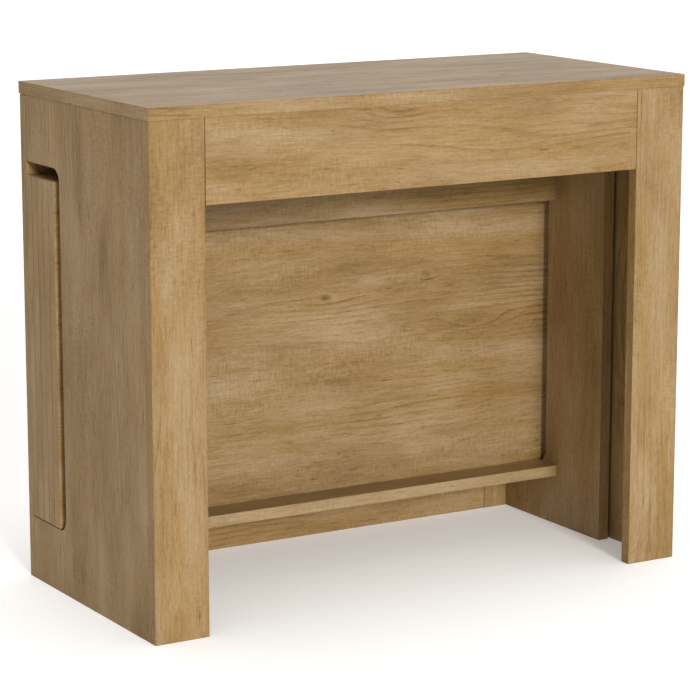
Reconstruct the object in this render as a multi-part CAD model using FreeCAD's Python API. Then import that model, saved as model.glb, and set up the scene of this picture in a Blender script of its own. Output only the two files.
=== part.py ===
import FreeCAD, Part
import math
import os
from collections import defaultdict

# Extending console table in oak-faced board. A shell of top, sides, front legs and apron pulls
# forward off a back frame on two telescopic rails. The frame stores the extension leaves on edge,
# and they slide out sideways through notches in the side panels.
# X runs to the right along the front, Y to the back, Z up. The origin is on the floor, below the
# centre of the closed table. All lengths are in millimetres.

V = FreeCAD.Vector
RIGHT, BACK, UP = V(1, 0, 0), V(0, 1, 0), V(0, 0, 1)

# Overall sizes
table_width = 900.0
table_depth = 420.0
top_thickness = 18.0  # the top and the leaves that continue it
board_thickness = 18.0  # every other board
top_reveal = 1.0  # how far the top stands past the boards below it

# Legs, apron and inner panels
leg_width = 85.0
apron_height = 120.0
inner_panel_depth = 263.0

# Leaf store, read from the floor up and from the back forward
leaf_count = 5
leaf_width = 516.0
shelf_height = 98.0  # floor to the face that the leaves stand on
leaf_headroom = 20.0  # free space over the stored leaves
store_head = 98.0  # panel left above the notch
leaf_gap = 0.8
finger_gap = 19.0  # free space in front of the stored leaves
notch_radius = 20.0
notch_drop = 2.0  # the notch's lower edge clears the leaves by this much
shelf_depth = 145.0
retainer_height = 120.0
retainer_overlap = 85.0  # how far the retaining rail covers the leaves

# Clearances between the shell and the frame
shell_gap = 6.0
closing_gap = 0.5
glide_gap = 1.0

# Telescopic rails: one extrusion, used side by side, each hooked in the next
rail_count = 9
rail_height = 44.0
rail_body = 11.4
rail_gap = 0.6  # between neighbours, and below the moving top
rail_end_gap = 3.0
rail_wall = 2.0
rib_neck_height = 7.0
rib_head_height = 14.0
rib_head = 3.0
slot_lip = 2.6
slot_clearance = 0.4
flange_width = 28.0
flange_thickness = 3.0

# Pan-head screws that hold the rails
pan_head_radius = 3.7
pan_head_height = 2.2
pan_shank_radius = 2.0
pan_grip = 12.0  # length held in the board
driver_hole_radius = 4.6

# Pins that line the leaves up
pin_radius = 4.0
pin_length = 30.0
pin_projection = 10.0
pin_end_gap = 2.0

fit_clearance = 0.1  # around every fitting, and past its end
overrun = 1.0  # cuts run past the faces that they open

# Where fittings stand, as shares of the length that carries them
rail_screw_shares = (0.2, 0.85)
flange_screw_shares = (0.15, 0.85)
pin_place_share = 0.66  # of half the leaf's length

# Heights and places worked out from the sizes above
leaf_top = shelf_height + leaf_width
notch_top = leaf_top + leaf_headroom
notch_bottom = shelf_height - notch_drop
carcass_height = notch_top + store_head
table_height = carcass_height + top_thickness
frame_height = carcass_height - glide_gap

half_width = table_width / 2
half_depth = table_depth / 2
side_out = half_width - top_reveal
side_in = side_out - board_thickness
inner_out = side_in - shell_gap
inner_in = inner_out - board_thickness
seam_x = side_out - leg_width
front_out = top_reveal - half_depth
front_in = front_out + board_thickness
back_out = half_depth - top_reveal
back_in = back_out - board_thickness

pin_place = half_width * pin_place_share
pin_bore_depth = pin_projection + pin_end_gap

leaf_pitch = top_thickness + leaf_gap
stack_front = back_in - leaf_count * leaf_pitch
notch_front = stack_front - finger_gap
retainer_front = notch_front - board_thickness
retainer_bottom = leaf_top - retainer_overlap
shelf_front = back_in - shelf_depth
shelf_bottom = shelf_height - board_thickness
inner_front = back_in - inner_panel_depth
side_rear = back_in - closing_gap

rail_front = front_in + rail_end_gap
rail_back = back_in - rail_end_gap
rail_length = rail_back - rail_front
rail_top = carcass_height - rail_gap
rail_bottom = rail_top - rail_height
rail_middle = rail_bottom + rail_height / 2
rail_pitch = rail_body + rail_gap
slot_chamber_height = rib_head_height + 2 * slot_clearance
slot_depth = slot_lip + rib_head + 2 * slot_clearance
chamber_height = (rail_height - slot_chamber_height) / 2 - 2 * rail_wall

holes = defaultdict(list)  # cutting tools for each board, by the board's name
fittings = defaultdict(list)  # solids of each group of fittings, by the group's name


def box(x0, x1, y0, y1, z0, z1):
    return Part.makeBox(x1 - x0, y1 - y0, z1 - z0, V(x0, y0, z0))


def rod(start, direction, radius, length):
    return Part.makeCylinder(radius, length, start, direction)


def mirrored(shape):
    """The same piece on the table's other side."""
    return shape.mirror(V(0, 0, 0), RIGHT)


def on_both_sides(shapes):
    return shapes + [mirrored(shape) for shape in shapes]


def between(low, high, shares):
    """Places along a length, from shares of it."""
    return [low + (high - low) * share for share in shares]


def polygon(points):
    return Part.makePolygon(points + points[:1])


def turned(profile, start, direction):
    """A turned piece: its (radius, length) profile spun about an axis that leaves start along direction."""
    wire = polygon([V(radius, 0, length) for radius, length in profile])
    solid = Part.Face(wire).revolve(V(0, 0, 0), UP, 360)
    solid.Placement = FreeCAD.Placement(start, FreeCAD.Rotation(UP, direction))
    return solid


def drill(board, start, direction, radius, length):
    """A hole in a board, opened by the overrun at its mouth."""
    mouth = start - direction * overrun
    holes[board].append(rod(mouth, direction, radius, length + overrun))


def add_pan_screw(group, seat, inward, plate, plate_thickness, board):
    """A pan-head screw whose head sits on a plate and whose shank is held in a board behind it."""
    length = plate_thickness + pan_grip
    profile = [
        (0, -pan_head_height),
        (pan_head_radius, -pan_head_height),
        (pan_head_radius, 0),
        (pan_shank_radius, 0),
        (pan_shank_radius, length),
        (0, length),
    ]
    fittings[group].append(turned(profile, seat, inward))
    bore = pan_shank_radius + fit_clearance
    drill(plate, seat, inward, bore, plate_thickness + overrun)
    drill(board, seat + inward * plate_thickness, inward, bore, pan_grip + fit_clearance)


def rail_fittings():
    """The right-hand screws: first rail to inner panel, last rail's flange to the top."""
    chamber_middle = rail_bottom + rail_wall + chamber_height / 2
    for y in between(inner_front, rail_back, rail_screw_shares):
        seat = V(inner_in - rail_wall, y, chamber_middle)
        add_pan_screw("frame_rail_screws", seat, RIGHT, "rail_1", rail_wall, "inner_panel")
        wall = V(inner_in - rail_body, y, chamber_middle)
        drill("rail_1", wall, RIGHT, driver_hole_radius, rail_wall + overrun)
    last_body_end = inner_in - (rail_count - 1) * rail_pitch - rail_body
    for y in between(rail_front, rail_back, flange_screw_shares):
        seat = V(last_body_end - flange_width / 2, y, carcass_height - flange_thickness)
        add_pan_screw("shell_rail_screws", seat, UP, f"rail_{rail_count}", flange_thickness, "table_top")


def table_top():
    """The top, with bores in its back edge for the first leaf's pins."""
    mouth = V(pin_place, half_depth, carcass_height + top_thickness / 2)
    drill("table_top", mouth, BACK * -1, pin_radius + fit_clearance, pin_bore_depth)
    return box(-half_width, half_width, -half_depth, half_depth, carcass_height, table_height)


def notched_panel(x0, x1, y_front, y_back, height):
    """A side with a notch, open to the back and round at its two front corners, for the leaves' ends."""
    bend = notch_radius * (1 - math.sqrt(2) / 2)
    low_arc = Part.Arc(
        V(x0, notch_front + notch_radius, notch_bottom),
        V(x0, notch_front + bend, notch_bottom + bend),
        V(x0, notch_front, notch_bottom + notch_radius),
    )
    high_arc = Part.Arc(
        V(x0, notch_front, notch_top - notch_radius),
        V(x0, notch_front + bend, notch_top - bend),
        V(x0, notch_front + notch_radius, notch_top),
    )
    corners = [
        V(x0, notch_front + notch_radius, notch_top),
        V(x0, y_back, notch_top),
        V(x0, y_back, height),
        V(x0, y_front, height),
        V(x0, y_front, 0),
        V(x0, y_back, 0),
        V(x0, y_back, notch_bottom),
        V(x0, notch_front + notch_radius, notch_bottom),
    ]
    front_edge = Part.LineSegment(
        V(x0, notch_front, notch_bottom + notch_radius), V(x0, notch_front, notch_top - notch_radius)
    )
    edges = [Part.LineSegment(a, b).toShape() for a, b in zip(corners, corners[1:])]
    edges += [low_arc.toShape(), front_edge.toShape(), high_arc.toShape()]
    wire = Part.Wire(Part.__sortEdges__(edges))
    return Part.Face(wire).extrude(RIGHT * (x1 - x0))


def side_panel():
    return notched_panel(side_in, side_out, front_in, side_rear, carcass_height)


def inner_panel():
    return notched_panel(inner_in, inner_out, inner_front, back_in, frame_height)


def front_leg_board():
    return box(seam_x, side_out, front_out, front_in, 0, carcass_height)


def front_apron():
    return box(-seam_x, seam_x, front_out, front_in, carcass_height - apron_height, carcass_height)


def back_leg_board():
    return box(seam_x, side_out, back_in, back_out, 0, frame_height)


def back_panel():
    return box(-seam_x, seam_x, back_in, back_out, 0, frame_height)


def leaf_shelf():
    return box(-inner_in, inner_in, shelf_front, back_in, shelf_bottom, shelf_height)


def leaf_retaining_rail():
    top = retainer_bottom + retainer_height
    return box(-inner_in, inner_in, retainer_front, notch_front, retainer_bottom, top)


def leaf_middle(number):
    """How far back a stored leaf's middle is, counted from the back."""
    return back_in - (number - 1) * leaf_pitch - leaf_gap - top_thickness / 2


def extension_leaf(number):
    """A stored leaf: on edge on the shelf, with pin seats in its upper edge and pin bores in its lower one."""
    name = f"extension_leaf_{number}"
    bore = pin_radius + fit_clearance
    seat_depth = pin_length - pin_projection + fit_clearance
    middle = leaf_middle(number)
    drill(name, V(pin_place, middle, shelf_height), UP, bore, pin_bore_depth)
    drill(name, V(pin_place, middle, leaf_top), UP * -1, bore, seat_depth)
    half = top_thickness / 2
    return box(-half_width, half_width, middle - half, middle + half, shelf_height, leaf_top)


def leaf_pin(number):
    """The right-hand one of the pins that stand out of a leaf's upper edge."""
    foot = V(pin_place, leaf_middle(number), leaf_top + pin_projection - pin_length)
    return rod(foot, UP, pin_radius, pin_length)


def rail(number):
    """One right-hand rail. Its outer side has a T-slot for the neighbour's rib, its inner side a T-rib for the
    next rail's slot, and hollow chambers run through it above and below. The last rail has a flange for the
    top in place of the rib."""
    outer = inner_in - (number - 1) * rail_pitch
    inner = outer - rail_body
    last = number == rail_count
    top = carcass_height if last else rail_top
    mouth = rib_neck_height / 2 + slot_clearance
    chamber = slot_chamber_height / 2
    neck = rib_neck_height / 2
    head = rib_head_height / 2
    head_start = inner - rail_gap - slot_lip - slot_clearance
    head_end = head_start - rib_head
    rib = [
        (inner, rail_middle - neck),
        (head_start, rail_middle - neck),
        (head_start, rail_middle - head),
        (head_end, rail_middle - head),
        (head_end, rail_middle + head),
        (head_start, rail_middle + head),
        (head_start, rail_middle + neck),
        (inner, rail_middle + neck),
    ]
    flange = [
        (inner, top - flange_thickness),
        (inner - flange_width, top - flange_thickness),
        (inner - flange_width, top),
    ]
    outline = [(outer, rail_bottom), (inner, rail_bottom)]
    outline += flange if last else rib + [(inner, top)]
    outline += [
        (outer, top),
        (outer, rail_middle + mouth),
        (outer - slot_lip, rail_middle + mouth),
        (outer - slot_lip, rail_middle + chamber),
        (outer - slot_depth, rail_middle + chamber),
        (outer - slot_depth, rail_middle - chamber),
        (outer - slot_lip, rail_middle - chamber),
        (outer - slot_lip, rail_middle - mouth),
        (outer, rail_middle - mouth),
    ]
    solid = Part.Face(polygon([V(x, rail_front, z) for x, z in outline])).extrude(BACK * rail_length)
    low = rail_bottom + rail_wall
    high = rail_top - rail_wall - chamber_height
    for z in (low, high):
        hollow = box(
            inner + rail_wall, outer - rail_wall,
            rail_front - overrun, rail_back + overrun,
            z, z + chamber_height,
        )
        solid = solid.cut(hollow)
    return solid


def drilled(shape, tools):
    return shape.cut(tools) if tools else shape


def export(name, shape):
    shape.exportStep(os.path.join("parts", name + ".step"))


def main():
    os.makedirs("parts", exist_ok=True)
    rail_fittings()
    for make in (table_top, front_apron, back_panel, leaf_shelf, leaf_retaining_rail):
        name = make.__name__
        shape = make()
        export(name, drilled(shape, on_both_sides(holes[name])))
    for make, ends in (
        (side_panel, ("left_side_panel", "right_side_panel")),
        (inner_panel, ("left_inner_panel", "right_inner_panel")),
        (front_leg_board, ("front_left_leg_board", "front_right_leg_board")),
        (back_leg_board, ("back_left_leg_board", "back_right_leg_board")),
    ):
        shape = drilled(make(), holes[make.__name__])
        export(ends[0], mirrored(shape))
        export(ends[1], shape)
    for number in range(1, rail_count + 1):
        shape = drilled(rail(number), holes[f"rail_{number}"])
        export(f"left_rail_{number}", mirrored(shape))
        export(f"right_rail_{number}", shape)
    for number in range(1, leaf_count + 1):
        name = f"extension_leaf_{number}"
        leaf = extension_leaf(number)
        export(name, drilled(leaf, on_both_sides(holes[name])))
        fittings[f"leaf_{number}_pins"].append(leaf_pin(number))
    for group, solids in fittings.items():
        export(group, Part.makeCompound(on_both_sides(solids)))


main()
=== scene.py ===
import math

import bmesh
import bpy
import numpy as np
from bpy.props import FloatProperty, FloatVectorProperty, PointerProperty
from bpy.types import NodeSocket, Operator, Panel, PropertyGroup
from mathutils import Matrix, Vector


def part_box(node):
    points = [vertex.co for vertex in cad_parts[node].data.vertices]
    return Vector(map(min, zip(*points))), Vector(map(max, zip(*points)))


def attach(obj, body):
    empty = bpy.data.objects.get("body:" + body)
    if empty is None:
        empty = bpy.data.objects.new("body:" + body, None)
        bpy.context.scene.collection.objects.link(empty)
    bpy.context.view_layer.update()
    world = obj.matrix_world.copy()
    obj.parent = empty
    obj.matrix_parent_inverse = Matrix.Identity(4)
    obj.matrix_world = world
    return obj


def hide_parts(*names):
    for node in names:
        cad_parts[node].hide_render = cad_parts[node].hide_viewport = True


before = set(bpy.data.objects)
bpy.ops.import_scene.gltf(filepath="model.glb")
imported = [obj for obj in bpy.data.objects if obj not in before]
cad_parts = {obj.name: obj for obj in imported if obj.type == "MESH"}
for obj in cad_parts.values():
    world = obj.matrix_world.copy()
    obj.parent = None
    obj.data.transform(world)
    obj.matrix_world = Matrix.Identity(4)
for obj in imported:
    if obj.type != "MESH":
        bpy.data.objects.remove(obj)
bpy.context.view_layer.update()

bl_info = {
    "name": "Extending Console Table",
    "version": (1, 0, 0),
    "blender": (4, 5, 0),
    "location": "View3D > Sidebar > Console Table",
    "description": "Dresses an extending console table in oak-faced board, with its fittings and stage",
    "category": "Add Mesh",
}

MM = 0.001

SIDES = ("left", "right")
LEAVES = [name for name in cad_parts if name.startswith("extension_leaf")]
PINS = [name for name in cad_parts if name.endswith("_pins")]
RAILS = [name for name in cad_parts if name.startswith(("left_rail", "right_rail"))]

# Which way the oak runs on each board, as the axes along its grain, across it and through the board
GRAIN_OF = {
    "table_top": "XYZ",
    "leaf_shelf": "XYZ",
    "front_apron": "XZY",
    "leaf_retaining_rail": "XZY",
    "back_panel": "XZY",
    **{name: "XZY" for name in LEAVES},
    **{f"{side}_side_panel": "ZYX" for side in SIDES},
    **{f"{side}_inner_panel": "ZYX" for side in SIDES},
    **{f"{end}_{side}_leg_board": "ZXY" for end in ("front", "back") for side in SIDES},
}
AXES = {"X": (1, 0, 0), "Y": (0, 1, 0), "Z": (0, 0, 1)}

# A surface faces an axis where the cosine of the angle between them is over this
FACING = 0.7

# Boards whose upright edges butt against other boards, where painted shade darkens the seam
SEAMED = ("front_apron", "back_panel")

# Which stretch of the oak a board is cut from, where it isn't simply the next one, and how far apart the
# stretches lie along the grain, across it and in layers. The faces lie in another layer than the tape.
STRETCH = {
    "extension_leaf_5": 31,
    "front_apron": 36,
    "front_left_leg_board": 32,
    "front_right_leg_board": 43,
    "left_side_panel": 20,
}
STRETCH_STEP = (0.737, 0.291, 1.713)
FACE_LAYER = 3.1

# Each pattern in the oak: its length along the grain and its width across it, in millimetres, then how
# many finer layers it has and how strong they are. Flow comes first, because the others meander with it.
# The pores, saw lines and threads of the embossed face are really finer, and are drawn as coarse as they
# need to show.
OAK_PATTERNS = {
    "flow": (480, 100, 1.0, 0.4),
    "cloud": (190, 60, 2.5, 0.5),
    "band": (330, 30, 3.0, 0.55),
    "streak": (46, 4.2, 4.0, 0.62),
    "grit": (8, 2.4, 2.0, 0.6),
    "fleck": (44, 4.0, 3.0, 0.6),
    "pore": (26, 1.7, 2.0, 0.6),
    "saw": (3.2, 14, 1.5, 0.5),
    "thread": (60, 2.2, 1.5, 0.5),
    "ring": (600, 110, 1.2, 0.45),
    "figure": (300, 90, 1.0, 0.5),
}

# How far the grain meanders from side to side, and how far apart the growth rings lie, in millimetres.
# The rings' field wanders over some rings, and a swirl lifts it by a few.
MEANDER = 26
RING_SPACING = 11
RING_WANDER = 9.0
SWIRL_RINGS = 2.0

# Between which values of its noise, of a ring's phase or of the distance from a knot each mark comes up
RISE = {
    "ring": (0.55, 0.97),
    "figure": (0.52, 0.76),
    "fleck": (0.62, 0.80),
    "pore": (0.55, 0.72),
    "saw": (0.36, 0.54),
    "richness": (0.3, 0.7),
    "knot": (1.5, 0.1),
    "knot line": (1.0, 0.2),
}

# How strongly rings show where they are faintest, how much a swirl adds to that, how much is left of the
# saw lines between their patches, and how rich the colour is on the darkest and on the palest bands
RING_LEAST = 0.05
SWIRL_SHARE = 0.8
SAW_LEAST = 0.2
RICHNESS = (1.05, 0.95)

# How much each pattern and mark adds to the tone, from 0, dark, to 1, pale, to the roughness and to the
# height. Patterns swing to both sides of one half, and marks only darken, apart from the saw lines.
PATTERN_TONES = {"cloud": 0.58, "band": 0.24, "streak": 0.42, "grit": 0.34, "thread": 0.12}
MARK_TONES = {"saw": 0.34, "ring": -0.18, "fleck": -0.40, "pore": -0.15, "knot": -0.34, "swirl": -0.10}
# The joint is the tape's real hair line; the other darkening is painted shade, shown in the seams between
# boards
EDGE_TONES = {"joint": -0.15, "painted_edge_shade": -1.0}
PATTERN_GLOSS = {"streak": 0.30, "band": 0.40}
MARK_GLOSS = {"pore": 0.10}
HEIGHTS = {"saw": 0.4, "streak": 1.0, "pore": -0.55, "joint": -0.8}

# How strong the figure is on a board, and the mean tone of its faces and of its tape
PLAIN_TONES = (1.0, 0.55, 0.55)
TONES = {
    "table_top": (1.4, 0.53, 0.55),
    "leaf_shelf": (1.0, 0.53, 0.70),
    **{name: (1.1, 0.58, 0.58) for name in LEAVES},
}

# How dark the painted shade along an edge and in a seam is, and the tape's share that it covers on an edge
EDGE_SHADE, SEAM_SHADE, SHADED_EDGE_SHARE = 0.12, 0.9, 0.5

# Half the width of the hair line at the tape's joint, in millimetres
HAIR_LINE = 0.15

# A knot and a swirl of rings: where each is along and across the grain of its board, in metres
NOWHERE = (10.0, 10.0)
KNOTS = {
    "extension_leaf_5": ((0.005, 0.403), (0.285, 0.336)),
    "front_apron": (NOWHERE, (-0.06, 0.722)),
    "table_top": ((0.21, -0.08), (-0.17, 0.06)),
    "left_side_panel": (NOWHERE, (0.53, -0.06)),
    "right_side_panel": ((0.44, -0.02), (0.21, -0.1)),
    "back_panel": ((-0.19, 0.31), (0.13, 0.52)),
    "extension_leaf_1": ((0.16, 0.27), (-0.22, 0.46)),
}

# Sizes along the grain and across it, in millimetres, of the bell round a knot, of its dark oval and of
# the fine line that runs from it, then how far back the line's middle lies, how dark it is beside the
# oval, and what share of the way the grain is pushed aside
KNOT_BELL = (60, 17)
KNOT_OVAL = (8.6, 5.4)
KNOT_LINE = (110, 1.3)
KNOT_LINE_BACK = 75
KNOT_LINE_DARK = 0.5
KNOT_PUSH_SHARE = 0.86

# Sizes along X, Y and Z, in millimetres, of the die lines and stains on the rails, and the sizes of the
# mottle on the metals and of the clouds in the nylon. Die lines and grain are really finer, and are drawn
# as coarse as they need to show.
DIE_LINES = (0.9, 400, 0.9)
STAINS = (60, 140, 60)
MOTTLE = 3
SCREW_GRAIN = 0.6
CAM_GRAIN = 0.4
NYLON_CLOUD = 5

# How many finer layers the patterns of the fittings have, and how strong they are
SOFT, GRITTY, LINED = (2.0, 0.5), (2.0, 0.6), (3.0, 0.6)

# The embossed face scatters part of its sheen, so this is lower than for plain melamine
BOARD_IOR = 1.32

# How strongly each relief shows, and how deep it is where no setting says
OAK_RELIEF = 0.35
DIE_LINE_RELIEF = (0.25, 0.05 * MM)
GRAIN_RELIEF = (0.3, 0.04 * MM)

# How far the roughness swings with the pattern of each material, and how much the die lines count beside
# the stains
RAIL_SWING, METAL_SWING, NYLON_SWING = 0.25, 0.3, 0.2
DIE_LINE_TONE = 0.6

# Gaps that are closed, in millimetres, then angles, in degrees: up to which faces count as one plane, and
# from which edges are rounded on a CAD node and stay sharp on a new piece
CAD_GAP, SEAM_GAP = 0.01, 0.005
PLANE_ANGLE, ROUNDED_ANGLE, SHARP_ANGLE = 1, 35, 40

# Shares of a driver's cross: where its arms start to end, and the two sides of their sloping walls
CROSS_END_SHARE = 0.75
CROSS_WALL_SHARES = (0.35, 0.65)

# Shares of a cam's radius where its pointer groove starts and ends, and shares of its cross's width where
# the groove's walls do
POINTER_START_SHARES = (0.55, 0.62)
POINTER_END_SHARES = (0.84, 0.9)
POINTER_WALL_SHARES = (0.4, 0.6)

# Shares of half a pitch between which a screw's ridge rises, and its point's length in shank radii
RIDGE_SHARES = (0.35, 0.9)
POINT_SHARE = 2

# Shares of the board's depth or height where cam locks sit on each joint
SIDE_CAM_SHARES = (0.2, 0.8)
APRON_CAM_SHARES = (0.2, 0.5)
FRAME_CAM_SHARES = (0.25, 0.75)

# Width as an angle, turn to the left of straight ahead, and height of each far soft light, in degrees
LIGHTS = {"key": (12, 9.5, 15.5), "overhead": (50, 0, 85)}

# Where the surround glows, low behind the table and to its right, and the cosine of the angle to it at
# which the glow starts
GLOW_AIM = (0.50, 0.78, 0.38)
GLOW_START = 0.3

# From the middle of the floor to its sides, in metres
FLOOR_REACH = 40.0


def linear(code):
    """A colour from its sRGB hex code, in linear light, with full alpha."""
    parts = np.array([int(code[i:i + 2], 16) for i in (1, 3, 5)]) / 255
    low, high = parts / 12.92, ((parts + 0.055) / 1.055) ** 2.4
    return (*np.where(parts <= 0.04045, low, high).tolist(), 1.0)


def repeats(*sizes):
    """How many times patterns of these sizes, in millimetres, repeat in a metre."""
    return tuple(1 / (size * MM) for size in sizes)


def feed(tree, socket, value):
    """Gives an input its value: a constant, a socket to link from, or None to leave it as it is."""
    if isinstance(value, NodeSocket):
        tree.links.new(value, socket)
    elif value is not None:
        socket.default_value = value


def add(tree, kind, *values, stops=(), **settings):
    """Adds a node to a tree. Settings are its own properties, stops the places and colours of a ramp, and
    values feed its open inputs in order. Gives back the node's first open output."""
    node = tree.nodes.new(kind if kind.startswith("NodeGroup") else "ShaderNode" + kind)
    for name, value in settings.items():
        setattr(node, name, value)
    for place, _ in stops[2:]:
        node.color_ramp.elements.new(place)
    for number, (place, colour) in enumerate(stops):
        node.color_ramp.elements[number].position = place
        node.color_ramp.elements[number].color = colour
    for socket, value in zip([each for each in node.inputs if each.enabled], values):
        feed(tree, socket, value)
    return next((each for each in node.outputs if each.enabled), None)


def new_group(name, inputs, outputs):
    """An empty node group with named inputs and outputs, and the sockets that bring its inputs in."""
    tree = bpy.data.node_groups.new(name, "ShaderNodeTree")
    for in_out, sockets in (("INPUT", inputs), ("OUTPUT", outputs)):
        for label, kind in sockets.items():
            tree.interface.new_socket(label, in_out=in_out, socket_type="NodeSocket" + kind)
    return tree, add(tree, "NodeGroupInput").node.outputs


def new_material(name):
    """A material with nothing but its shader, given with its tree."""
    material = bpy.data.materials.new(name)
    material.use_nodes = True
    return material, material.node_tree


def set_surface(tree, values):
    """Feeds the shader's inputs from their names and values."""
    shader = tree.nodes["Principled BSDF"].inputs
    for name, value in values.items():
        feed(tree, shader[name], value)


def weigh(tree, parts, weights, total):
    """Adds to a total each named part times its weight."""
    for name, weight in weights.items():
        total = add(tree, "Math", parts[name], weight, total, operation="MULTIPLY_ADD")
    return total


def oak_knot():
    """A knot in the oak. A bell round it pushes the grain aside and draws rings. The knot itself is a
    small dark oval, and a fine dark line runs from it along the grain."""
    inputs = {"Place": "Vector", "Knot": "Vector"}
    tree, given = new_group("oak knot", inputs, {"Push": "Float", "Dark": "Float", "Bell": "Float"})
    apart = add(tree, "VectorMath", given["Place"], given["Knot"], operation="SUBTRACT")
    aside = add(tree, "SeparateXYZ", apart).node.outputs["Y"]
    bell = add(tree, "VectorMath", apart, (*repeats(*KNOT_BELL), 0), operation="MULTIPLY")
    bell = add(tree, "VectorMath", bell, bell, operation="DOT_PRODUCT")
    bell = add(tree, "Math", bell, -1.0, operation="MULTIPLY")
    bell = add(tree, "Math", bell, operation="EXPONENT")
    push = add(tree, "Math", aside, bell, operation="MULTIPLY")
    push = add(tree, "Math", push, -KNOT_PUSH_SHARE, operation="MULTIPLY")
    oval = add(tree, "VectorMath", apart, (*repeats(*KNOT_OVAL), 0), operation="MULTIPLY")
    oval = add(tree, "VectorMath", oval, operation="LENGTH")
    oval = add(tree, "MapRange", oval, *RISE["knot"], 0.0, 1.0, interpolation_type="SMOOTHSTEP")
    line = add(tree, "VectorMath", apart, (KNOT_LINE_BACK * MM, 0, 0), operation="ADD")
    line = add(tree, "VectorMath", line, (*repeats(*KNOT_LINE), 0), operation="MULTIPLY")
    line = add(tree, "VectorMath", line, operation="LENGTH")
    line = add(
        tree, "MapRange", line, *RISE["knot line"], 0.0, KNOT_LINE_DARK, interpolation_type="SMOOTHSTEP")
    dark = add(tree, "Math", oval, line, operation="MAXIMUM")
    add(tree, "NodeGroupOutput", push, dark, bell)
    return tree


def oak_place(tree, given):
    """Where a point lies along the grain, across it and in which layer, on a face or on the tape of an
    edge. On the faces a knot pushes the grain aside, and a swirl only bends the rings. Gives the place,
    whether it is on a face, and how strongly the knot and the swirl show there."""
    along, across, through = (
        add(tree, "VectorMath", given["Place"], given[axis], operation="DOT_PRODUCT")
        for axis in ("Along", "Across", "Through")
    )
    facing = {}
    for axis in ("Along", "Through"):
        turn = add(tree, "VectorMath", given["Normal"], given[axis], operation="DOT_PRODUCT")
        turn = add(tree, "Math", turn, operation="ABSOLUTE")
        facing[axis] = add(tree, "Math", turn, FACING, operation="GREATER_THAN")
    face = facing["Through"]
    run = add(tree, "Mix", facing["Along"], along, across, data_type="FLOAT")
    breadth = add(tree, "Mix", face, through, across, data_type="FLOAT")
    layer = add(tree, "Math", face, FACE_LAYER, operation="MULTIPLY")
    spot = add(tree, "CombineXYZ", along, across, 0.0)
    knot_tree = oak_knot()
    knot, swirl = (
        add(tree, "Group", spot, given[name], node_tree=knot_tree).node.outputs
        for name in ("Knot", "Swirl")
    )
    breadth = add(tree, "Math", knot["Push"], face, breadth, operation="MULTIPLY_ADD")
    dark = add(tree, "Math", knot["Dark"], face, operation="MULTIPLY")
    bell = add(tree, "Math", swirl["Bell"], face, operation="MULTIPLY")
    place = add(tree, "CombineXYZ", run, breadth, layer)
    place = add(tree, "VectorMath", place, given["Shift"], operation="ADD")
    return place, face, dark, bell


def oak_patterns(tree, place):
    """Every pattern in the oak by name, and the meandering place that they are drawn at."""
    noise, grain = {}, place
    for name, (length, width, detail, roughness) in OAK_PATTERNS.items():
        scaled = add(tree, "VectorMath", grain, (*repeats(length, width), 1), operation="MULTIPLY")
        noise[name] = add(tree, "TexNoise", scaled, 1.0, detail, roughness)
        if name == "flow":
            sway = add(tree, "Math", noise[name], MEANDER * MM, -MEANDER * MM / 2, operation="MULTIPLY_ADD")
            sway = add(tree, "CombineXYZ", 0.0, sway, 0.0)
            grain = add(tree, "VectorMath", place, sway, operation="ADD")
    return noise, grain


def oak_rings(tree, noise, grain, swirl):
    """Growth rings, drawn as contours of a smooth field across the grain. Each darkens slowly and ends
    sharply, and they show only in some places and round a swirl."""
    across = add(tree, "SeparateXYZ", grain).node.outputs["Y"]
    phase = add(tree, "Math", across, *repeats(RING_SPACING), operation="MULTIPLY")
    phase = add(tree, "Math", noise["ring"], RING_WANDER, phase, operation="MULTIPLY_ADD")
    phase = add(tree, "Math", swirl, SWIRL_RINGS, phase, operation="MULTIPLY_ADD")
    phase = add(tree, "Math", phase, operation="FRACT")
    ring = add(tree, "MapRange", phase, *RISE["ring"], 0.0, 1.0, interpolation_type="SMOOTHSTEP")
    shown = add(
        tree, "MapRange", noise["figure"], *RISE["figure"], RING_LEAST, 1.0, interpolation_type="SMOOTHSTEP")
    shown = add(tree, "Math", swirl, SWIRL_SHARE, shown, operation="MULTIPLY_ADD", use_clamp=True)
    return add(tree, "Math", ring, shown, operation="MULTIPLY")


def oak_rim(tree, given):
    """Distance to a board's nearest edge: the middle one of those to its three pairs of faces."""
    inside = add(tree, "VectorMath", given["Place"], given["Middle"], operation="SUBTRACT")
    inside = add(tree, "VectorMath", inside, operation="ABSOLUTE")
    inside = add(tree, "VectorMath", given["Half"], inside, operation="SUBTRACT")
    x, y, z = add(tree, "SeparateXYZ", inside).node.outputs
    least = add(tree, "Math", x, y, operation="MINIMUM")
    most = add(tree, "Math", x, y, operation="MAXIMUM")
    most = add(tree, "Math", most, z, operation="MINIMUM")
    return add(tree, "Math", least, most, operation="MAXIMUM")


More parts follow.
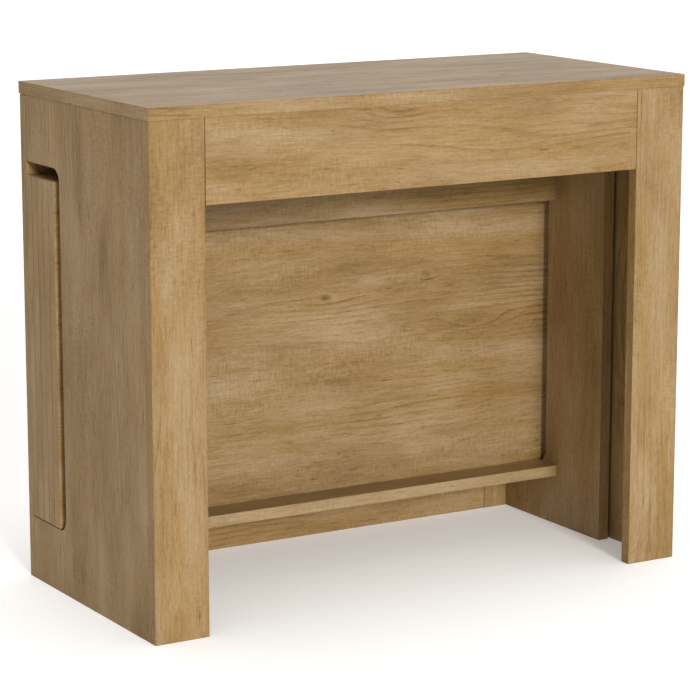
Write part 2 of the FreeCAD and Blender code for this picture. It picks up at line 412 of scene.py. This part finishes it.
def oak_figure(board):
    """The oak of the boards. Faces carry grain along the board, and each edge carries tape whose grain
    runs along that edge. Soft clouds, bands and streaks, growth rings, pores, and the faint canvas of saw
    lines and threads add up to one tone, which the colour follows. The tape's joint shows as a hair line
    beside each edge, and each edge is a little darker with painted shade, which shows as the shade in
    the seams where boards meet."""
    vectors = ("Place", "Normal", "Along", "Across", "Through", "Shift", "Middle", "Half", "Knot", "Swirl")
    numbers = ("Contrast", "Face Tone", "Tape Tone", "Edge Width", "Edge Dark")
    inputs = {**dict.fromkeys(vectors, "Vector"), **dict.fromkeys(numbers, "Float")}
    outputs = {"Colour": "Color", "Roughness": "Float", "Height": "Float"}
    tree, given = new_group("oak figure", inputs, outputs)
    place, face, knot, swirl = oak_place(tree, given)
    noise, grain = oak_patterns(tree, place)
    parts = {**noise, "knot": knot, "swirl": swirl, "ring": oak_rings(tree, noise, grain, swirl)}
    parts["fleck"] = add(
        tree, "MapRange", noise["fleck"], *RISE["fleck"], 0.0, 1.0, interpolation_type="SMOOTHSTEP")
    parts["pore"] = add(tree, "MapRange", noise["pore"], *RISE["pore"], 0.0, 1.0)

    # Saw lines are left in patches
    patch = add(
        tree, "MapRange", noise["figure"], *RISE["saw"], 1.0, SAW_LEAST, interpolation_type="SMOOTHSTEP")
    saw = add(tree, "Math", noise["saw"], -0.5, operation="ADD")
    parts["saw"] = add(tree, "Math", saw, patch, operation="MULTIPLY")

    # The tape's joint, and painted shade along the edge
    rim = oak_rim(tree, given)
    parts["joint"] = add(tree, "Math", rim, board.tape_thickness, HAIR_LINE * MM, operation="COMPARE")
    parts["painted_edge_shade"] = add(tree, "MapRange", rim, 0.0, given["Edge Width"], given["Edge Dark"], 0.0)

    # One tone from all of these, and a colour from the tone, richer on some bands than on others
    tone = weigh(tree, parts, {**PATTERN_TONES, **MARK_TONES}, -sum(PATTERN_TONES.values()) / 2)
    strength = add(tree, "Mix", face, 1.0, given["Contrast"], data_type="FLOAT")
    mean = add(tree, "Mix", face, given["Tape Tone"], given["Face Tone"], data_type="FLOAT")
    tone = add(tree, "Math", tone, strength, mean, operation="MULTIPLY_ADD")
    tone = weigh(tree, parts, EDGE_TONES, tone)
    colour = add(tree, "ValToRGB", tone, stops=((0.0, board.dark), (0.5, board.tan), (1.0, board.pale)))
    richness = add(tree, "MapRange", noise["band"], *RISE["richness"], *RICHNESS)
    colour = add(tree, "HueSaturation", None, richness, None, None, colour)

    smoothest = board.roughness - sum(PATTERN_GLOSS.values()) / 2
    rough = weigh(tree, parts, {**PATTERN_GLOSS, **MARK_GLOSS}, smoothest)
    add(tree, "NodeGroupOutput", colour, rough, weigh(tree, parts, HEIGHTS, 0.0))
    return tree


def oak_faced_board(board, figure, node, number):
    """Oak-faced board: particle board with a printed, lightly embossed melamine face and taped edges. It
    gives the eye warm tan streaks with a satin sheen that turns pale at a low angle."""
    material, tree = new_material(f"oak_faced_board.{node}")
    low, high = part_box(node)
    seen = add(tree, "TexCoord").node.outputs
    grain = (AXES[axis] for axis in GRAIN_OF[node])
    shift = [number * step for step in STRETCH_STEP]
    knots = [(*place, 0.0) for place in KNOTS.get(node, (NOWHERE, NOWHERE))]
    half = (high - low) / 2
    # Painted shade along every edge, and wider, darker painted shade on the seams of seamed boards
    edge = (SHADED_EDGE_SHARE * board.tape_thickness, EDGE_SHADE)
    if node in SEAMED:
        # Only upright edges are seams with painted shade, so the upper and lower ones are put out of reach
        half.z += high.z
        edge = (board.seam_shade_width, SEAM_SHADE)
    oak = add(
        tree, "Group", seen["Object"], seen["Normal"], *grain, shift, (low + high) / 2, half, *knots,
        *TONES.get(node, PLAIN_TONES), *edge, node_tree=figure).node.outputs
    bump = add(tree, "Bump", OAK_RELIEF, board.emboss, None, oak["Height"])
    set_surface(tree, {
        "Base Color": oak["Colour"], "Roughness": oak["Roughness"], "Normal": bump, "IOR": BOARD_IOR})
    return material


def anodised_aluminium(rail):
    """Anodised aluminium: extruded, so fine die lines run along each rail, then etched and anodised to a
    pale satin grey that stretches reflections across the lines."""
    material, tree = new_material("anodised_aluminium")
    place = add(tree, "TexCoord").node.outputs["Object"]
    lines = add(tree, "VectorMath", place, repeats(*DIE_LINES), operation="MULTIPLY")
    lines = add(tree, "TexNoise", lines, 1.0, *LINED)
    stain = add(tree, "VectorMath", place, repeats(*STAINS), operation="MULTIPLY")
    stain = add(tree, "TexNoise", stain, 1.0, *SOFT)
    tone = add(tree, "Math", lines, DIE_LINE_TONE, stain, operation="MULTIPLY_ADD")
    colour = add(tree, "ValToRGB", tone, stops=((0.3, rail.shade), (0.923, rail.light)))
    smoothest = rail.roughness - RAIL_SWING / 2
    rough = add(tree, "Math", lines, RAIL_SWING, smoothest, operation="MULTIPLY_ADD")
    bump = add(tree, "Bump", *DIE_LINE_RELIEF, None, lines)
    set_surface(tree, {"Base Color": colour, "Roughness": rough, "Normal": bump, "Metallic": 1.0})
    return material


def plated_metal(name, fitting, grain):
    """A plated or cast metal of the fittings: a mottle of two greys, with a gloss that is broken by grain
    of the size given."""
    material, tree = new_material(name)
    place = add(tree, "TexCoord").node.outputs["Object"]
    mottle = add(tree, "TexNoise", place, *repeats(MOTTLE), *SOFT)
    fine = add(tree, "TexNoise", place, *repeats(grain), *GRITTY)
    colour = add(tree, "ValToRGB", mottle, stops=((0.35, fitting.shade), (0.65, fitting.light)))
    smoothest = fitting.roughness - METAL_SWING / 2
    rough = add(tree, "Math", fine, METAL_SWING, smoothest, operation="MULTIPLY_ADD")
    bump = add(tree, "Bump", *GRAIN_RELIEF, None, fine)
    set_surface(tree, {"Base Color": colour, "Roughness": rough, "Normal": bump, "Metallic": 1.0})
    return material


def nylon(pin):
    """Nylon: moulded pins in natural polyamide, a waxy cream that light enters a little way."""
    material, tree = new_material("nylon")
    place = add(tree, "TexCoord").node.outputs["Object"]
    cloud = add(tree, "TexNoise", place, *repeats(NYLON_CLOUD), *SOFT)
    colour = add(tree, "ValToRGB", cloud, stops=((0.3, pin.shade), (0.7, pin.light)))
    smoothest = pin.roughness - NYLON_SWING / 2
    rough = add(tree, "Math", cloud, NYLON_SWING, smoothest, operation="MULTIPLY_ADD")
    set_surface(tree, {
        "Base Color": colour, "Roughness": rough, "IOR": 1.53, "Subsurface Weight": 0.15,
        "Subsurface Radius": (1.0, 0.8, 0.6), "Subsurface Scale": 2 * MM})
    return material


def dress(node, material, radius, segments):
    """Gives a CAD node its material, joins its loose triangles into whole faces and rounds its sharp
    edges."""
    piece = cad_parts[node]
    piece.material_slots[0].material = material
    weld = piece.modifiers.new("joined", "WELD")
    weld.merge_threshold = CAD_GAP * MM
    faces = piece.modifiers.new("whole faces", "DECIMATE")
    faces.decimate_type = "DISSOLVE"
    faces.angle_limit = math.radians(PLANE_ANGLE)
    bevel = piece.modifiers.new("rounded edges", "BEVEL")
    bevel.width = radius
    bevel.segments = segments
    bevel.limit_method = "ANGLE"
    bevel.angle_limit = math.radians(ROUNDED_ANGLE)
    bevel.loop_slide = False
    bevel.harden_normals = True


def smooth_step(low, high, value):
    """Runs from 0 to 1 as the value goes from low to high, level at both ends."""
    share = np.clip((value - low) / (high - low), 0, 1)
    return share * share * (3 - 2 * share)


def cross_recess(x, y, width, reach, depth):
    """Depth of a driver's cross at points of a head: two arms, each as deep as the recess within its
    width and its reach, with sloping walls, and the deeper of the two where they meet."""
    inner, outer = (share * width for share in CROSS_WALL_SHARES)

    def arm(along, aside):
        end = 1 - smooth_step(CROSS_END_SHARE * reach, reach, np.abs(along))
        return end * (1 - smooth_step(inner, outer, np.abs(aside)))

    return depth * np.maximum(arm(x, y), arm(y, x))


def turned_head(fitting, radius, height, squareness, rings, columns):
    """A round head on its seat: rings run from the middle of the top out to the seat, on a curve where
    the powers of radius and height, each as a share of the whole, add up to one. The driver's cross sinks
    into it."""
    turn, slope = np.meshgrid(np.linspace(0, 2 * np.pi, columns), np.linspace(0, np.pi / 2, rings))
    share = np.sin(slope)
    x, y = radius * share * np.cos(turn), radius * share * np.sin(turn)
    top = height * (1 - share ** squareness) ** (1 / squareness)
    sunk = cross_recess(x, y, fitting.recess_width, fitting.recess_reach, fitting.recess_depth)
    return np.stack([x, y, top - sunk], axis=-1)


def pan_screw(screw):
    """A pan-head screw that stands on the origin with its shank down: the head, its flat seat, and a
    shank whose radius follows a helical ridge and tapers to a point."""
    columns, steps = 49, 97
    head = turned_head(
        screw, screw.head_radius, screw.head_height, squareness=2.6, rings=22, columns=columns)
    turn, depth = np.meshgrid(np.linspace(0, 2 * np.pi, columns), np.linspace(0, screw.length, steps))
    ridge = np.abs((depth / screw.pitch + turn / (2 * np.pi)) % 1 - 0.5) * 2
    ridge = smooth_step(*RIDGE_SHARES, ridge) * (screw.shank_radius - screw.core_radius)
    taper = np.clip((screw.length - depth) / (POINT_SHARE * screw.shank_radius), 0, 1)
    spread = (screw.core_radius + ridge) * taper
    shank = np.stack([spread * np.cos(turn), spread * np.sin(turn), -depth], axis=-1)
    return np.concatenate([head, shank])


def cam_lock(cam):
    """The cam of a knock-down joint, sunk in the board: a flat round face with a driver's cross and a
    pointer groove, both shallow enough to stay clear of the board, a rounded rim, a plain side and a flat
    bottom."""
    face = turned_head(cam, cam.radius, cam.proud, squareness=12.0, rings=40, columns=73)
    x, y, z = np.moveaxis(face, -1, 0)
    out = x / cam.radius
    inside = smooth_step(*POINTER_START_SHARES, out) * (1 - smooth_step(*POINTER_END_SHARES, out))
    inner, outer = (share * cam.recess_width for share in POINTER_WALL_SHARES)
    narrow = 1 - smooth_step(inner, outer, np.abs(y))
    face[..., 2] = z - cam.pointer_depth * inside * narrow
    foot = face[-1:] - np.array([0, 0, cam.sunk])
    return np.concatenate([face, foot, foot * np.array([0, 0, 1])])


def set_out(shape, seats, outward):
    """Copies of a shape, one on each seat: its own upward axis is turned to the outward direction, and
    its other two to directions square to that."""
    outward = np.array(outward, float)

    # X lies square to an upright direction, and Z to a level one
    beside = np.where(np.abs(outward[:, 2:]) > 0.5, (1.0, 0.0, 0.0), (0.0, 0.0, 1.0))
    across = np.cross(outward, beside)
    axes = np.stack([beside, across, outward], axis=1)
    return np.einsum("rci,nij->nrcj", shape, axes) + np.array(seats, float)[:, None, None, :]


def screw_places(node, screw):
    """The box of a node of screws, and where its screws are: on which side, and how far back their
    middles lie."""
    low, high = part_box(node)
    ends = (low.y + screw.head_radius, high.y - screw.head_radius)
    return low, high, [(side, y) for side in (-1, 1) for y in ends]


def make_piece(name, grids, material, body, *replaced):
    """One piece from grids of points: copies by rows by columns. Each quad joins four neighbours of its
    grid, and points that meet at seams and poles are merged."""
    copies, rows, columns = grids.shape[:3]
    number = np.arange(copies * rows * columns).reshape(copies, rows, columns)
    corners = (number[:, :-1, :-1], number[:, :-1, 1:], number[:, 1:, 1:], number[:, 1:, :-1])
    quads = np.stack(corners, axis=-1).reshape(-1, 4)
    mesh = bpy.data.meshes.new(name)
    mesh.from_pydata(grids.reshape(-1, 3).tolist(), [], quads.tolist())
    merged = bmesh.new()
    merged.from_mesh(mesh)
    bmesh.ops.remove_doubles(merged, verts=merged.verts, dist=SEAM_GAP * MM)
    bmesh.ops.recalc_face_normals(merged, faces=merged.faces)
    merged.to_mesh(mesh)
    merged.free()
    mesh.shade_smooth()
    mesh.set_sharp_from_angle(angle=math.radians(SHARP_ANGLE))
    mesh.materials.append(material)
    piece = bpy.data.objects.new(name, mesh)
    bpy.context.scene.collection.objects.link(piece)
    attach(piece, body)
    if replaced:
        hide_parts(*replaced)


def light_surround(scene, stage):
    """A white surround: plain to the camera, and even to the table but for a glow low behind it."""
    scene.world = bpy.data.worlds.new("white surround")
    scene.world.use_nodes = True
    tree = scene.world.node_tree
    sky = tree.nodes["Background"].inputs
    sky["Color"].default_value = linear("#FFFFFF")
    aim = add(tree, "TexCoord").node.outputs["Generated"]
    aim = add(tree, "VectorMath", aim, GLOW_AIM, operation="DOT_PRODUCT")
    strength = add(tree, "MapRange", aim, GLOW_START, 1.0, stage.sky, stage.sky + stage.back_glow)
    seen = add(tree, "LightPath").node.outputs["Is Camera Ray"]
    feed(tree, sky["Strength"], add(tree, "Math", strength, seen, operation="MAXIMUM"))


def lay_floor(scene, stage):
    """A pale floor of matt paint, which gives off a little light and is darker in reflections."""
    mesh = bpy.data.meshes.new("floor")
    corners = np.array([(-1, -1, 0), (1, -1, 0), (1, 1, 0), (-1, 1, 0)]) * FLOOR_REACH
    mesh.from_pydata(corners.tolist(), [], [(0, 1, 2, 3)])
    material, tree = new_material("pale_floor")
    mirrored = add(tree, "LightPath").node.outputs["Is Glossy Ray"]
    colour = add(tree, "Mix", mirrored, stage.floor, stage.mirrored_floor, data_type="RGBA")
    set_surface(tree, {
        "Base Color": colour, "Roughness": 0.9, "Emission Color": linear("#FFFFFF"),
        "Emission Strength": stage.floor_glow})
    mesh.materials.append(material)
    floor = bpy.data.objects.new("floor", mesh)
    scene.collection.objects.link(floor)


def hang_lights(scene, stage):
    """Far soft lights, each turned from straight down to where it shines from."""
    for name, (width, turn, height) in LIGHTS.items():
        light = bpy.data.lights.new(name, "SUN")
        light.energy = getattr(stage, name)
        light.angle = math.radians(width)
        lamp = bpy.data.objects.new(name, light)
        lamp.rotation_euler = (math.radians(90 - height), 0, math.radians(-turn))
        scene.collection.objects.link(lamp)


def stand_camera(scene, stage):
    """The camera, level across, which looks a little down and to the right."""
    lens = bpy.data.cameras.new("camera")
    lens.lens = stage.lens
    camera = bpy.data.objects.new("camera", lens)
    camera.location = stage.camera_place
    camera.rotation_euler = (math.radians(90) - stage.camera_pitch, 0, -stage.camera_yaw)
    scene.collection.objects.link(camera)
    scene.camera = camera


class BoardSettings(PropertyGroup):
    """Sizes and colours of the boards"""

    tape_thickness: FloatProperty(
        name="Edge tape", description="Thickness of the tape on the edges",
        default=1.0 * MM, unit="LENGTH", precision=5)
    edge_radius: FloatProperty(
        name="Edge radius", description="Rounding of the edges",
        default=0.45 * MM, unit="LENGTH", precision=5)
    # The seam's darkness is painted shade, for the shade in the groove where two boards butt
    seam_shade_width: FloatProperty(
        name="Seam", description="Width of the dark seam where two boards butt",
        default=1.4 * MM, unit="LENGTH", precision=5)
    emboss: FloatProperty(
        name="Emboss", description="Depth of the pores and saw lines in the face",
        default=0.12 * MM, unit="LENGTH", precision=5)
    roughness: FloatProperty(
        name="Roughness", description="Mean roughness of the embossed face",
        default=0.38, min=0.0, max=1.0, subtype="FACTOR")
    dark: FloatVectorProperty(
        name="Dark oak", description="Colour of rings, pores and knots",
        default=linear("#4A3416"), subtype="COLOR", size=4)
    tan: FloatVectorProperty(
        name="Tan oak", description="Main colour of the oak",
        default=linear("#8F7248"), subtype="COLOR", size=4)
    pale: FloatVectorProperty(
        name="Pale oak", description="Colour of the lightest streaks",
        default=linear("#B29B77"), subtype="COLOR", size=4)


class RailSettings(PropertyGroup):
    """Sizes and colours of the telescopic rails"""

    edge_radius: FloatProperty(
        name="Edge radius", description="Rounding of the extruded edges",
        default=0.2 * MM, unit="LENGTH", precision=5)
    roughness: FloatProperty(
        name="Roughness", description="Mean roughness of the anodised skin",
        default=0.325, min=0.0, max=1.0, subtype="FACTOR")
    light: FloatVectorProperty(
        name="Light", description="Lighter grey of the anodised skin",
        default=linear("#D4D5D6"), subtype="COLOR", size=4)
    shade: FloatVectorProperty(
        name="Shade", description="Darker grey of the die lines",
        default=linear("#A9ABAE"), subtype="COLOR", size=4)


class PinSettings(PropertyGroup):
    """Sizes and colours of the leaf pins"""

    nose: FloatProperty(
        name="Nose", description="Rounding of the ends of the pins",
        default=1.2 * MM, unit="LENGTH", precision=5)
    roughness: FloatProperty(
        name="Roughness", description="Mean roughness of the nylon",
        default=0.42, min=0.0, max=1.0, subtype="FACTOR")
    light: FloatVectorProperty(
        name="Light", description="Lighter cream of the nylon",
        default=linear("#E9E4D6"), subtype="COLOR", size=4)
    shade: FloatVectorProperty(
        name="Shade", description="Darker cream of the nylon",
        default=linear("#DAD3C0"), subtype="COLOR", size=4)


class ScrewSettings(PropertyGroup):
    """Sizes and colours of the rail screws"""

    head_radius: FloatProperty(
        name="Head radius", description="Radius of the pan head",
        default=3.7 * MM, unit="LENGTH", precision=5)
    head_height: FloatProperty(
        name="Head height", description="Height of the pan head",
        default=2.2 * MM, unit="LENGTH", precision=5)
    recess_width: FloatProperty(
        name="Cross width", description="Width of the driver's cross",
        default=1.0 * MM, unit="LENGTH", precision=5)
    recess_reach: FloatProperty(
        name="Cross reach", description="Reach of the cross from the middle",
        default=2.1 * MM, unit="LENGTH", precision=5)
    recess_depth: FloatProperty(
        name="Cross depth", description="Depth of the driver's cross",
        default=1.3 * MM, unit="LENGTH", precision=5)
    shank_radius: FloatProperty(
        name="Shank radius", description="Radius over the thread",
        default=2.0 * MM, unit="LENGTH", precision=5)
    core_radius: FloatProperty(
        name="Core radius", description="Radius under the thread",
        default=1.35 * MM, unit="LENGTH", precision=5)
    pitch: FloatProperty(
        name="Pitch", description="Rise of the thread in one turn",
        default=1.8 * MM, unit="LENGTH", precision=5)
    length: FloatProperty(
        name="Length", description="Length under the head",
        default=14.0 * MM, unit="LENGTH", precision=5)
    roughness: FloatProperty(
        name="Roughness", description="Mean roughness of the zinc plating",
        default=0.3, min=0.0, max=1.0, subtype="FACTOR")
    light: FloatVectorProperty(
        name="Light", description="Lighter grey of the zinc plating",
        default=linear("#C9CCD0"), subtype="COLOR", size=4)
    shade: FloatVectorProperty(
        name="Shade", description="Darker, yellower grey of the zinc plating",
        default=linear("#B2B0A6"), subtype="COLOR", size=4)


class CamSettings(PropertyGroup):
    """Sizes and colours of the cam locks"""

    radius: FloatProperty(
        name="Radius", description="Radius of the cam's face",
        default=7.5 * MM, unit="LENGTH", precision=5)
    proud: FloatProperty(
        name="Proud", description="How far the face stands out of the board",
        default=1.0 * MM, unit="LENGTH", precision=5)
    sunk: FloatProperty(
        name="Sunk", description="How deep the cam reaches into the board",
        default=9.0 * MM, unit="LENGTH", precision=5)
    setback: FloatProperty(
        name="Setback", description="From the joint to the middle of the cam",
        default=34.0 * MM, unit="LENGTH", precision=5)
    recess_width: FloatProperty(
        name="Cross width", description="Width of the driver's cross",
        default=1.5 * MM, unit="LENGTH", precision=5)
    recess_reach: FloatProperty(
        name="Cross reach", description="Reach of the cross from the middle",
        default=3.3 * MM, unit="LENGTH", precision=5)
    recess_depth: FloatProperty(
        name="Cross depth", description="Depth of the driver's cross",
        default=0.85 * MM, unit="LENGTH", precision=5)
    pointer_depth: FloatProperty(
        name="Pointer depth", description="Depth of the groove that shows which way the cam is open",
        default=0.5 * MM, unit="LENGTH", precision=5)
    roughness: FloatProperty(
        name="Roughness", description="Mean roughness of the die-cast zinc",
        default=0.45, min=0.0, max=1.0, subtype="FACTOR")
    light: FloatVectorProperty(
        name="Light", description="Lighter grey of the die-cast zinc",
        default=linear("#B7B9BB"), subtype="COLOR", size=4)
    shade: FloatVectorProperty(
        name="Shade", description="Darker grey of the die-cast zinc",
        default=linear("#9C9EA0"), subtype="COLOR", size=4)


class StageSettings(PropertyGroup):
    """Camera, light and floor"""

    camera_place: FloatVectorProperty(
        name="Camera", description="Where the camera stands",
        default=(-2.095, -3.494, 1.157), subtype="TRANSLATION")
    camera_yaw: FloatProperty(
        name="Yaw", description="Turn of the camera to the right of straight ahead",
        default=math.radians(30.83), subtype="ANGLE")
    camera_pitch: FloatProperty(
        name="Pitch", description="How far the camera looks down",
        default=math.radians(11.37), subtype="ANGLE")
    lens: FloatProperty(
        name="Lens", description="Focal length in millimetres",
        default=141.36, subtype="DISTANCE_CAMERA")
    key: FloatProperty(
        name="Key light", description="Strength of the low soft light from the front",
        default=2.46, min=0.0)
    overhead: FloatProperty(
        name="Overhead light", description="Strength of the wide soft light from above",
        default=1.35, min=0.0)
    sky: FloatProperty(
        name="Sky", description="Strength of the even white surround",
        default=0.25, min=0.0)
    back_glow: FloatProperty(
        name="Back glow", description="Extra strength of the surround low behind the table",
        default=0.62, min=0.0)
    floor_glow: FloatProperty(
        name="Floor glow", description="Light that the pale floor gives off",
        default=0.22, min=0.0)
    floor: FloatVectorProperty(
        name="Floor", description="Colour of the floor",
        default=linear("#F7F6F4"), subtype="COLOR", size=4)
    mirrored_floor: FloatVectorProperty(
        name="Mirrored floor",
        description="Colour of the floor in reflections, which a filter would hold back",
        default=linear("#8C8B8A"), subtype="COLOR", size=4)


class CONSOLE_OT_boards(Operator):
    """Oak on every board, each with its own stretch of grain, and softened edges"""

    bl_idname = "console.boards"
    bl_label = "Oak boards"

    def execute(self, context):
        board = context.scene.console_board
        figure = oak_figure(board)
        for number, node in enumerate(GRAIN_OF):
            material = oak_faced_board(board, figure, node, STRETCH.get(node, number))
            dress(node, material, board.edge_radius, segments=2)
        return {"FINISHED"}


class CONSOLE_OT_rails(Operator):
    """Anodised aluminium on the telescopic rails"""

    bl_idname = "console.rails"
    bl_label = "Telescopic rails"

    def execute(self, context):
        rail = context.scene.console_rail
        material = anodised_aluminium(rail)
        for node in RAILS:
            dress(node, material, rail.edge_radius, segments=1)
        return {"FINISHED"}


class CONSOLE_OT_pins(Operator):
    """Nylon on the pins that line the leaves up, with rounded ends"""

    bl_idname = "console.pins"
    bl_label = "Leaf pins"

    def execute(self, context):
        pin = context.scene.console_pin
        material = nylon(pin)
        for node in PINS:
            dress(node, material, pin.nose, segments=3)
        return {"FINISHED"}


class CONSOLE_OT_screws(Operator):
    """Pan-head screws that hold the rails to the inner panels and to the top"""

    bl_idname = "console.screws"
    bl_label = "Rail screws"

    def execute(self, context):
        screw = context.scene.console_screw
        material = plated_metal("zinc_plated_steel", screw, SCREW_GRAIN)
        shape = pan_screw(screw)

        # Through the first rails, outwards: the shank's tip is the node's outer end
        low, high, places = screw_places("frame_rail_screws", screw)
        seats = [(side * (high.x - screw.length), y, (low.z + high.z) / 2) for side, y in places]
        grids = set_out(shape, seats, [(-side, 0, 0) for side, _ in places])
        make_piece("frame_pan_screws", grids, material, "back_frame", "frame_rail_screws")

        # Through the last rails' flanges, upwards into the top
        low, high, places = screw_places("shell_rail_screws", screw)
        across = high.x - screw.head_radius
        seats = [(side * across, y, low.z + screw.head_height) for side, y in places]
        grids = set_out(shape, seats, [(0, 0, -1)] * len(seats))
        make_piece("shell_pan_screws", grids, material, "front_shell", "shell_rail_screws")
        return {"FINISHED"}


class CONSOLE_OT_cams(Operator):
    """Cam locks of the knock-down joints, on the faces that no one sees from the front"""

    bl_idname = "console.cams"
    bl_label = "Cam locks"

    def execute(self, context):
        cam = context.scene.console_cam
        material = plated_metal("zinc_die_casting", cam, CAM_GRAIN)
        shape = cam_lock(cam)
        sides = (-1, 1)

        # In the shell: sides to top, and apron to front legs
        low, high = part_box("right_side_panel")
        shell = [
            ((side * low.x, low.y + share * (high.y - low.y), high.z - cam.setback), (-side, 0, 0))
            for side in sides for share in SIDE_CAM_SHARES
        ]
        low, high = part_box("front_apron")
        shell += [
            ((side * (high.x - cam.setback), high.y, low.z + share * (high.z - low.z)), (0, 1, 0))
            for side in sides for share in APRON_CAM_SHARES
        ]
        make_piece("shell_cam_locks", set_out(shape, *zip(*shell)), material, "front_shell")

        # In the frame: shelf to inner panels, and retaining rail to inner panels
        low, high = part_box("leaf_shelf")
        back = [
            ((side * (high.x - cam.setback), low.y + share * (high.y - low.y), low.z), (0, 0, -1))
            for side in sides for share in FRAME_CAM_SHARES
        ]
        low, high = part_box("leaf_retaining_rail")
        back += [
            ((side * (high.x - cam.setback), high.y, low.z + share * (high.z - low.z)), (0, 1, 0))
            for side in sides for share in FRAME_CAM_SHARES
        ]
        make_piece("frame_cam_locks", set_out(shape, *zip(*back)), material, "back_frame")
        return {"FINISHED"}


class CONSOLE_OT_stage(Operator):
    """Pale floor, soft light and the camera"""

    bl_idname = "console.stage"
    bl_label = "Stage"

    def execute(self, context):
        scene, stage = context.scene, context.scene.console_stage
        scene.view_settings.view_transform = "Standard"
        light_surround(scene, stage)
        lay_floor(scene, stage)
        hang_lights(scene, stage)
        stand_camera(scene, stage)
        return {"FINISHED"}


class CONSOLE_PT_table(Panel):
    """The table's groups of pieces, in the order they are made, each with its sizes and colours"""

    bl_idname = "CONSOLE_PT_table"
    bl_label = "Console Table"
    bl_space_type = "VIEW_3D"
    bl_region_type = "UI"
    bl_category = "Console Table"

    def draw(self, context):
        for operator, (name, group) in zip(OPERATORS, GROUPS.items()):
            box = self.layout.box()
            box.operator(operator.bl_idname)
            for setting in group.__annotations__:
                box.prop(getattr(context.scene, name), setting)


OPERATORS = (
    CONSOLE_OT_boards,
    CONSOLE_OT_rails,
    CONSOLE_OT_pins,
    CONSOLE_OT_screws,
    CONSOLE_OT_cams,
    CONSOLE_OT_stage,
)
GROUPS = {
    "console_board": BoardSettings,
    "console_rail": RailSettings,
    "console_pin": PinSettings,
    "console_screw": ScrewSettings,
    "console_cam": CamSettings,
    "console_stage": StageSettings,
}
CLASSES = (*GROUPS.values(), *OPERATORS, CONSOLE_PT_table)


def register():
    for each in CLASSES:
        bpy.utils.register_class(each)
    for name, group in GROUPS.items():
        setattr(bpy.types.Scene, name, PointerProperty(type=group))


def unregister():
    for name in GROUPS:
        delattr(bpy.types.Scene, name)
    for each in reversed(CLASSES):
        bpy.utils.unregister_class(each)


def main():
    register()
    bpy.ops.console.boards()
    bpy.ops.console.rails()
    bpy.ops.console.pins()
    bpy.ops.console.screws()
    bpy.ops.console.cams()
    bpy.ops.console.stage()


if __name__ == "__main__":
    main()
